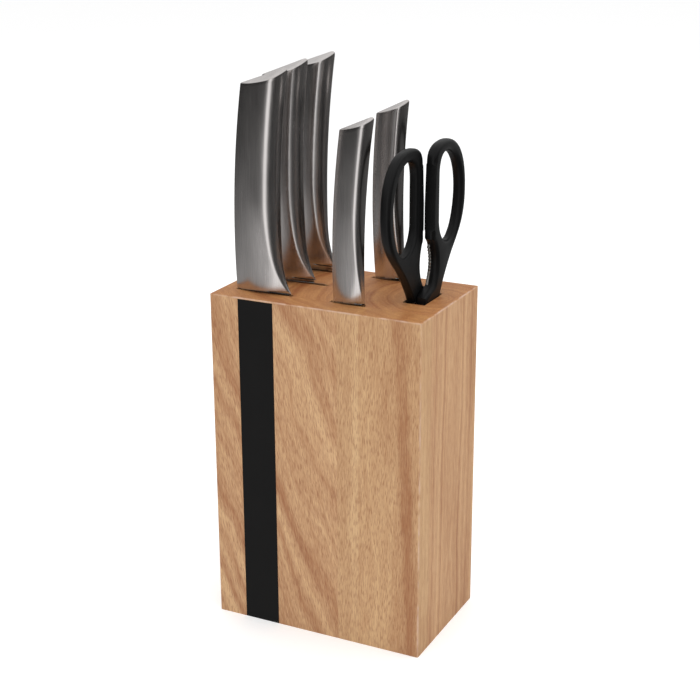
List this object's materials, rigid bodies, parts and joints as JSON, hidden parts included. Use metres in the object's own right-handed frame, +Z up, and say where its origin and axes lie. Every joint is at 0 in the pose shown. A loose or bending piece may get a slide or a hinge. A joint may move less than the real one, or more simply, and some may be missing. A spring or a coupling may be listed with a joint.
{
  "type": "knife block with knives",
  "caption": "Upright wooden knife block with a black inlaid stripe, slanted steel-handled kitchen knives in its slots and black-handled kitchen shears in a well.",
  "frame": {"origin": "middle of the block's flat base", "axes": "+Z up, +X to the right seen from the striped front, +Y to the back"},
  "size_m": [0.147, 0.1021, 0.3711],
  "materials": {
    "wood": "satin clear-coated rubberwood, glued from staves and strips",
    "black_inlay": "matte near-black laminate inlay",
    "handle_steel": "lengthwise brushed stainless steel",
    "blade_steel": "fine ground stainless steel",
    "black_plastic": "satin moulded black plastic"
  },
  "bodies": {
    "block": {"front_left_stave": "wood", "front_middle_stave": "wood", "front_right_stave": "wood", "front_core_board": "wood", "front_core_web": "wood", "front_core_end": "wood", "rear_core_board": "wood", "rear_core_web": "wood", "rear_core_end": "wood", "back_board": "wood", "row_1_left_strip": "wood", "row_1_middle_strip": "wood", "row_1_right_strip": "wood", "row_1_floor_strips": "wood", "row_2_left_strip": "wood", "row_2_middle_strip": "wood", "row_2_right_strip": "wood", "row_2_floor_strip": "wood", "row_3_left_strip": "wood", "row_3_middle_strip": "wood", "row_3_right_strip": "wood", "row_3_floor_strips": "wood", "well_floor": "wood", "black_stripe": "black_inlay"},
    "bread_knife": {"bread_blade": "blade_steel", "bread_front_shell": "handle_steel", "bread_back_shell": "handle_steel", "bread_butt_cap": "handle_steel"},
    "chef_knife": {"chef_blade": "blade_steel", "chef_front_shell": "handle_steel", "chef_back_shell": "handle_steel", "chef_butt_cap": "handle_steel"},
    "slicer_knife": {"slicer_blade": "blade_steel", "slicer_front_shell": "handle_steel", "slicer_back_shell": "handle_steel", "slicer_butt_cap": "handle_steel"},
    "utility_knife": {"utility_blade": "blade_steel", "utility_front_shell": "handle_steel", "utility_back_shell": "handle_steel", "utility_butt_cap": "handle_steel"},
    "paring_knife": {"paring_blade": "blade_steel", "paring_front_shell": "handle_steel", "paring_back_shell": "handle_steel", "paring_butt_cap": "handle_steel"},
    "shears": {"shears_front_blade": "blade_steel", "shears_front_handle": "black_plastic", "pivot_screw": "blade_steel", "pivot_nut": "blade_steel"},
    "shears_back_half": {"shears_back_blade": "blade_steel", "shears_back_handle": "black_plastic"}
  },
  "joints": [
    {"name": "bread_lift", "type": "slide", "parent": "block", "child": "bread_knife", "axis": [0, 0, 1], "range_m": [0, 0.212]},
    {"name": "chef_lift", "type": "slide", "parent": "block", "child": "chef_knife", "axis": [0, 0, 1], "range_m": [0, 0.212]},
    {"name": "slicer_lift", "type": "slide", "parent": "block", "child": "slicer_knife", "axis": [0, 0, 1], "range_m": [0, 0.212]},
    {"name": "utility_lift", "type": "slide", "parent": "block", "child": "utility_knife", "axis": [0, 0, 1], "range_m": [0, 0.14]},
    {"name": "paring_lift", "type": "slide", "parent": "block", "child": "paring_knife", "axis": [0, 0, 1], "range_m": [0, 0.105]},
    {"name": "shears_lift", "type": "slide", "parent": "block", "child": "shears", "axis": [0, 0, 1], "range_m": [0, 0.14]},
    {"name": "shears_pivot", "type": "hinge", "parent": "shears", "child": "shears_back_half", "pos_m": [0.0525, 0.00475, 0.215], "axis": [-1, 0, 0], "range_deg": [0, 3]}
  ]
}
